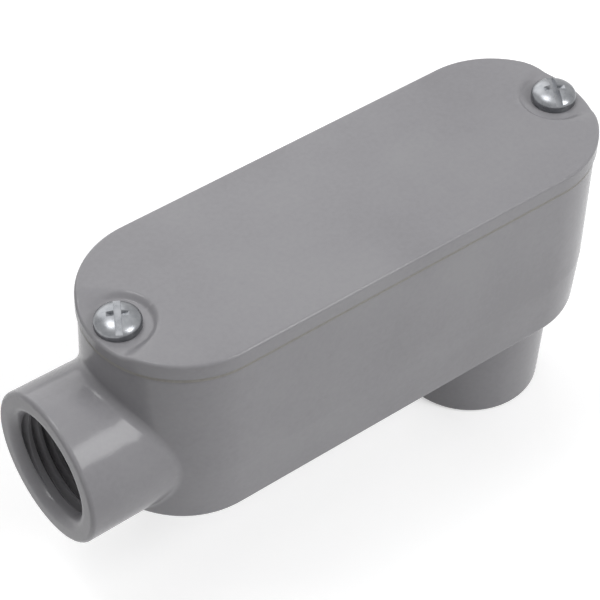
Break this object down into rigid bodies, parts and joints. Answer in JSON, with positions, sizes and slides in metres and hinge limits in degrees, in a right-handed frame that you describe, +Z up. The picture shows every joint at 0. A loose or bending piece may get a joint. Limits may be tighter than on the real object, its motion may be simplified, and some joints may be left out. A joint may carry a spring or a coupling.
{
  "type": "conduit body",
  "caption": "Cast conduit body with a long rounded housing, a threaded hub on its end, a threaded hub on its back and a flat screwed cover over a thin gasket.",
  "frame": {"origin": "centre of the back hub's mouth", "axes": "+Z up through the back hub to the cover, -X out of the end hub's mouth along its axis, +Y across the housing by the right-hand rule"},
  "size_m": [0.1103, 0.034, 0.0602],
  "materials": {
    "grey_coat": "thin satin grey coating over cast aluminium",
    "gasket_sheet": "matt fibre and rubber sheet",
    "plated_screw": "dull zinc plating"
  },
  "bodies": {
    "housing": {"housing": "grey_coat", "cover_gasket": "gasket_sheet"},
    "cover": {"cover": "grey_coat"},
    "screw_end": {"cover_screw_end": "plated_screw"},
    "screw_far": {"cover_screw_far": "plated_screw"}
  },
  "joints": [
    {"name": "cover_lift", "type": "slide", "parent": "housing", "child": "cover", "axis": [0, 0, 1], "range_m": [0, 0.04]},
    {"name": "screw_end_turn", "type": "hinge", "parent": "cover", "child": "screw_end", "pos_m": [-0.0766, 0, 0.0575], "axis": [0, 0, 1], "continuous": true},
    {"name": "screw_far_turn", "type": "hinge", "parent": "cover", "child": "screw_far", "pos_m": [0.014, 0, 0.0575], "axis": [0, 0, 1], "continuous": true}
  ]
}
